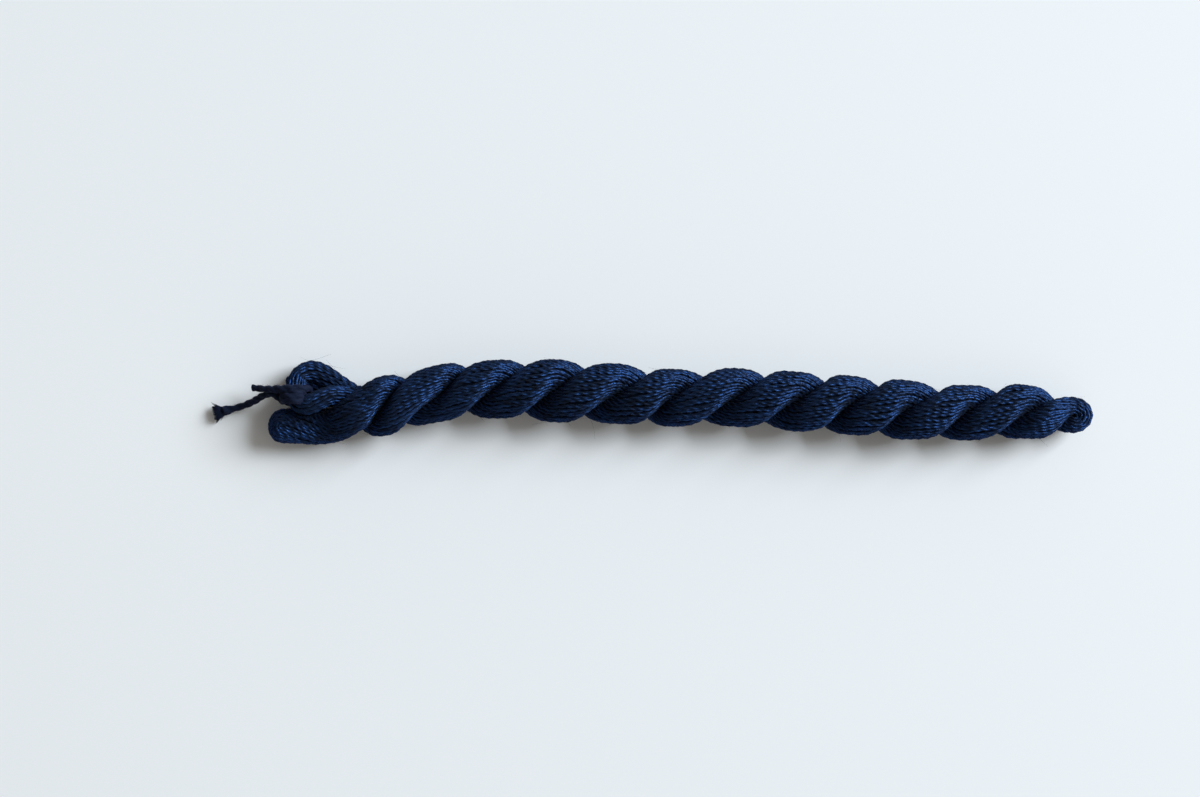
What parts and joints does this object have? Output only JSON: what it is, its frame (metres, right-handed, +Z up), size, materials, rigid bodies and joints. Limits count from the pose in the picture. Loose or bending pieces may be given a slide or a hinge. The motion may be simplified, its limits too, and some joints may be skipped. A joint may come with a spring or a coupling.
{
  "type": "skein of embroidery floss",
  "caption": "Twisted hank of navy embroidery floss, folded in half and plied on itself, tied through the loop at its head.",
  "frame": {"origin": "on the surface that the skein lies on, under the middle of the hank's box, the tie left out", "axes": "+X along the skein, from its head to its folded end; +Y across it, to the side where the opened loop of the head lies; +Z up"},
  "size_m": [0.2711, 0.0268, 0.0179],
  "materials": {
    "floss": "soft lustre of two-ply thread",
    "tie": "matte, slightly fuzzy thread"
  },
  "bodies": {
    "root": {"skein": "floss", "tie": "tie", "tie_knot": "tie"}
  },
  "joints": []
}
